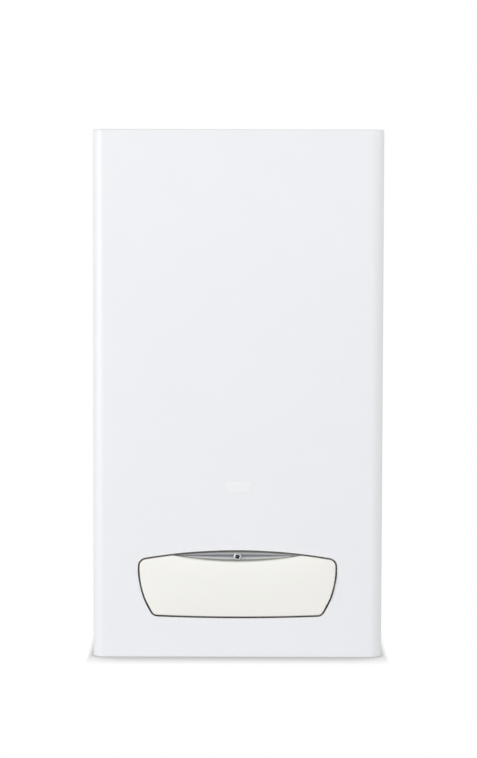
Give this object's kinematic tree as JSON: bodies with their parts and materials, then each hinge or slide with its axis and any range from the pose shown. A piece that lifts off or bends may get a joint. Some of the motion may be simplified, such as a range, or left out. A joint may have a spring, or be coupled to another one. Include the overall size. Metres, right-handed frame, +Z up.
{
  "type": "wall-hung combi boiler",
  "caption": "White wall-hung combi boiler with a rounded steel casing, a fold-down control door under a silver grip, and full internals.",
  "frame": {"origin": "on the plane of the bottom rim, in the middle of the overall width and depth", "axes": "+Z up, -Y out of the painted front into the room, +Y towards the wall, +X to the right of someone facing the boiler"},
  "size_m": [0.4, 0.299, 0.73],
  "materials": {
    "casing_paint": "satin white powder coat",
    "door_plastic": "satin white",
    "silver_plastic": "metallic silver lacquer",
    "panel_plastic": "fine texture",
    "dark_plastic": "satin",
    "box_plastic": "moulded",
    "board": "solder mask",
    "clear_plastic": "clear",
    "dial_plastic": "printed scale",
    "red_plastic": "moulded",
    "blue_plastic": "moulded",
    "galvanised": "zinc coated",
    "aluminised": "aluminised",
    "bright_steel": "stainless",
    "copper": "drawn copper",
    "brass": "hot-pressed",
    "cast_iron": "black paint",
    "cast_alloy": "die cast",
    "vessel_paint": "red primer",
    "fibre": "fibre board",
    "porcelain": "glazed"
  },
  "bodies": {
    "boiler": {"front_casing": "casing_paint", "back_frame": "galvanised", "top_panel": "casing_paint", "intake_blank": "galvanised", "connection_tray": "galvanised", "control_fascia": "panel_plastic", "grip_scoop": "silver_plastic", "status_lens": "dark_plastic", "gauge_case": "dark_plastic", "gauge_dial": "dial_plastic", "gauge_window": "clear_plastic", "lamp_strip": "clear_plastic", "control_box": "box_plastic", "control_box_lid": "box_plastic", "circuit_board": "board", "cable_gland": "dark_plastic", "chamber_shell": "galvanised", "chamber_cover": "galvanised", "sight_glass": "clear_plastic", "burner": "bright_steel", "gas_manifold": "bright_steel", "firebox": "aluminised", "fibre_lining": "fibre", "heat_exchanger": "copper", "flue_hood": "aluminised", "fan_housing": "galvanised", "fan_motor": "cast_iron", "air_pressure_switch": "dark_plastic", "electrodes": "porcelain", "heating_flow_tail": "brass", "hot_water_tail": "brass", "gas_tail": "brass", "cold_water_tail": "brass", "heating_return_tail": "brass", "flow_block": "brass", "return_block": "brass", "diverter_motor": "dark_plastic", "safety_valve": "brass", "pump_body": "cast_iron", "pump_motor": "cast_iron", "air_vent": "brass", "plate_exchanger": "bright_steel", "gas_valve": "cast_alloy", "expansion_vessel": "vessel_paint", "flow_pipe": "copper", "return_pipe": "copper", "gas_pipe": "copper", "vessel_pipe": "copper", "gauge_capillary": "copper"},
    "door": {"control_door": "door_plastic"},
    "mode_control": {"mode_knob": "dark_plastic"},
    "heating_control": {"heating_knob": "dark_plastic"},
    "hot_water_control": {"hot_water_knob": "dark_plastic"},
    "needle": {"gauge_needle": "red_plastic"},
    "fan": {"fan_wheel": "galvanised"},
    "pump": {"pump_wheel": "bright_steel"},
    "diverter": {"diverter_spindle": "bright_steel"},
    "safety_control": {"safety_knob": "red_plastic"},
    "filling_control": {"filling_knob": "blue_plastic"}
  },
  "joints": [
    {"name": "door_hinge", "type": "hinge", "parent": "boiler", "child": "door", "pos_m": [0, -0.1424, 0.07], "axis": [1, 0, 0], "range_deg": [0, 90]},
    {"name": "mode_turn", "type": "hinge", "parent": "boiler", "child": "mode_control", "pos_m": [-0.092, -0.1223, 0.094], "axis": [0, 1, 0], "range_deg": [-60, 60]},
    {"name": "heating_turn", "type": "hinge", "parent": "boiler", "child": "heating_control", "pos_m": [-0.04, -0.1223, 0.094], "axis": [0, 1, 0], "range_deg": [-135, 135]},
    {"name": "hot_water_turn", "type": "hinge", "parent": "boiler", "child": "hot_water_control", "pos_m": [0.012, -0.1223, 0.094], "axis": [0, 1, 0], "range_deg": [-135, 135]},
    {"name": "needle_turn", "type": "hinge", "parent": "boiler", "child": "needle", "pos_m": [0.084, -0.1214, 0.097], "axis": [0, 1, 0], "range_deg": [-120, 120]},
    {"name": "fan_spin", "type": "hinge", "parent": "boiler", "child": "fan", "pos_m": [-0.045, 0.016, 0.628], "axis": [0, 1, 0], "continuous": true},
    {"name": "pump_spin", "type": "hinge", "parent": "boiler", "child": "pump", "pos_m": [0.112, 0.05, 0.15], "axis": [0, 1, 0], "continuous": true},
    {"name": "diverter_slide", "type": "slide", "parent": "boiler", "child": "diverter", "axis": [0, 0, 1], "range_m": [-0.005, 0]},
    {"name": "safety_turn", "type": "hinge", "parent": "boiler", "child": "safety_control", "pos_m": [0.148, 0.0337, 0.086], "axis": [0, -1, 0], "range_deg": [0, 90]},
    {"name": "filling_turn", "type": "hinge", "parent": "boiler", "child": "filling_control", "pos_m": [0.097, 0.1, 0.035], "axis": [0, 0, 1], "range_deg": [0, 180]}
  ]
}
